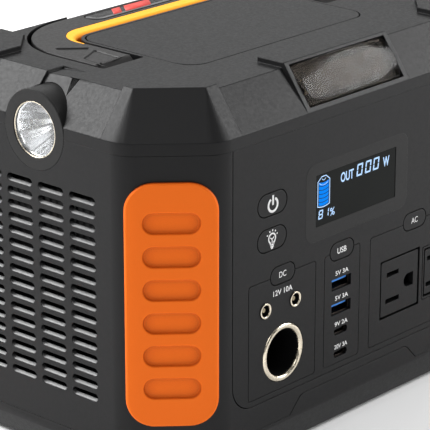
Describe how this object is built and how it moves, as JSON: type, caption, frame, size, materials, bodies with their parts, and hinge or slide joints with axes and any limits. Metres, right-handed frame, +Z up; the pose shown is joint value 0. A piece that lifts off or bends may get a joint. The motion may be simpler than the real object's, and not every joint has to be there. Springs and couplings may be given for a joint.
{
  "type": "power station",
  "caption": "Portable power station with folding carry handle, display, push buttons, round, USB and mains outlets, side flashlight, front area lamp, louvred sides and corner guards.",
  "frame": {"origin": "centre of the footprint on the surface that the feet stand on", "axes": "+Z up, the control panel faces -Y, +X to the right when facing the panel"},
  "size_m": [0.2392, 0.1585, 0.1734],
  "materials": {
    "case_black": "fine matte texture",
    "panel_grey": "fine matte texture",
    "guard_orange": "soft-touch satin",
    "handle_black": "fine matte texture",
    "grip_orange": "soft-touch satin",
    "gloss_black": "polished",
    "window_dark": "polished",
    "bezel_black": "matte",
    "chrome_ring": "polished",
    "inner_black": "matte",
    "port_steel": "plated",
    "tongue_blue": "matte",
    "tongue_black": "matte",
    "contact_brass": "plain",
    "reflector": "metallised",
    "lens_clear": "clear",
    "lens_smoke": "smoked",
    "lamp_white": "satin white",
    "led_yellow": "phosphor",
    "foot_rubber": "matte",
    "board_green": "solder mask",
    "cell_wrap": "shrink wrap",
    "aluminium": "plain",
    "transformer_iron": "varnished"
  },
  "bodies": {
    "case": {"ac_contacts": "contact_brass", "ac_outlet_left": "panel_grey", "ac_outlet_right": "panel_grey", "battery_board": "board_green", "battery_cells": "cell_wrap", "bottom_cover": "case_black", "button_switches": "inner_black", "capacitors": "aluminium", "car_socket_barrel": "inner_black", "car_socket_contact": "port_steel", "car_socket_ring": "chrome_ring", "case_screws": "port_steel", "cell_holder_lower": "inner_black", "cell_holder_upper": "inner_black", "control_board": "board_green", "corner_guard_front_left": "guard_orange", "corner_guard_front_right": "guard_orange", "corner_guard_rear_left": "guard_orange", "corner_guard_rear_right": "guard_orange", "dc_jack_left": "inner_black", "dc_jack_pins": "contact_brass", "dc_jack_right": "inner_black", "display_bezel": "panel_grey", "display_module": "inner_black", "display_window": "window_dark", "fan_frame": "inner_black", "flashlight_bezel": "bezel_black", "flashlight_led": "led_yellow", "flashlight_lens": "lens_clear", "flashlight_reflector": "reflector", "front_panel": "panel_grey", "handle_pins": "port_steel", "heat_sinks": "aluminium", "input_bezel": "bezel_black", "input_jack": "inner_black", "inverter_board": "board_green", "lamp_led_strip": "led_yellow", "lamp_lens": "lens_smoke", "lamp_tray": "lamp_white", "main_housing": "case_black", "rubber_feet": "foot_rubber", "top_lid": "case_black", "top_shell": "case_black", "transformer": "transformer_iron", "usb_a_lower": "port_steel", "usb_a_tongues": "tongue_blue", "usb_a_upper": "port_steel", "usb_board": "board_green", "usb_c_lower": "port_steel", "usb_c_tongues": "tongue_black", "usb_c_upper": "port_steel"},
    "handle": {"handle_frame": "handle_black", "handle_grip": "grip_orange", "handle_inlay": "gloss_black"},
    "power_key": {"power_button": "panel_grey"},
    "light_key": {"light_button": "panel_grey"},
    "dc_key": {"dc_button": "panel_grey"},
    "usb_key": {"usb_button": "panel_grey"},
    "ac_key": {"ac_button": "panel_grey"},
    "fan_blades": {"fan_rotor": "inner_black"}
  },
  "joints": [
    {"name": "handle_fold", "type": "hinge", "parent": "case", "child": "handle", "pos_m": [0, 0.0015, 0.1635], "axis": [1, 0, 0], "range_deg": [0, 95]},
    {"name": "power_press", "type": "slide", "parent": "case", "child": "power_key", "axis": [0, 1, 0], "range_m": [0, 0.001], "stiffness_N_per_m": 1200, "springref_m": -0.0006},
    {"name": "light_press", "type": "slide", "parent": "case", "child": "light_key", "axis": [0, 1, 0], "range_m": [0, 0.001], "stiffness_N_per_m": 1200, "springref_m": -0.0006},
    {"name": "dc_press", "type": "slide", "parent": "case", "child": "dc_key", "axis": [0, 1, 0], "range_m": [0, 0.001], "stiffness_N_per_m": 1200, "springref_m": -0.0006},
    {"name": "usb_press", "type": "slide", "parent": "case", "child": "usb_key", "axis": [0, 1, 0], "range_m": [0, 0.001], "stiffness_N_per_m": 1200, "springref_m": -0.0006},
    {"name": "ac_press", "type": "slide", "parent": "case", "child": "ac_key", "axis": [0, 1, 0], "range_m": [0, 0.001], "stiffness_N_per_m": 1200, "springref_m": -0.0006},
    {"name": "fan_spin", "type": "hinge", "parent": "case", "child": "fan_blades", "pos_m": [0.104, 0.0013, 0.08], "axis": [1, 0, 0], "continuous": true}
  ]
}
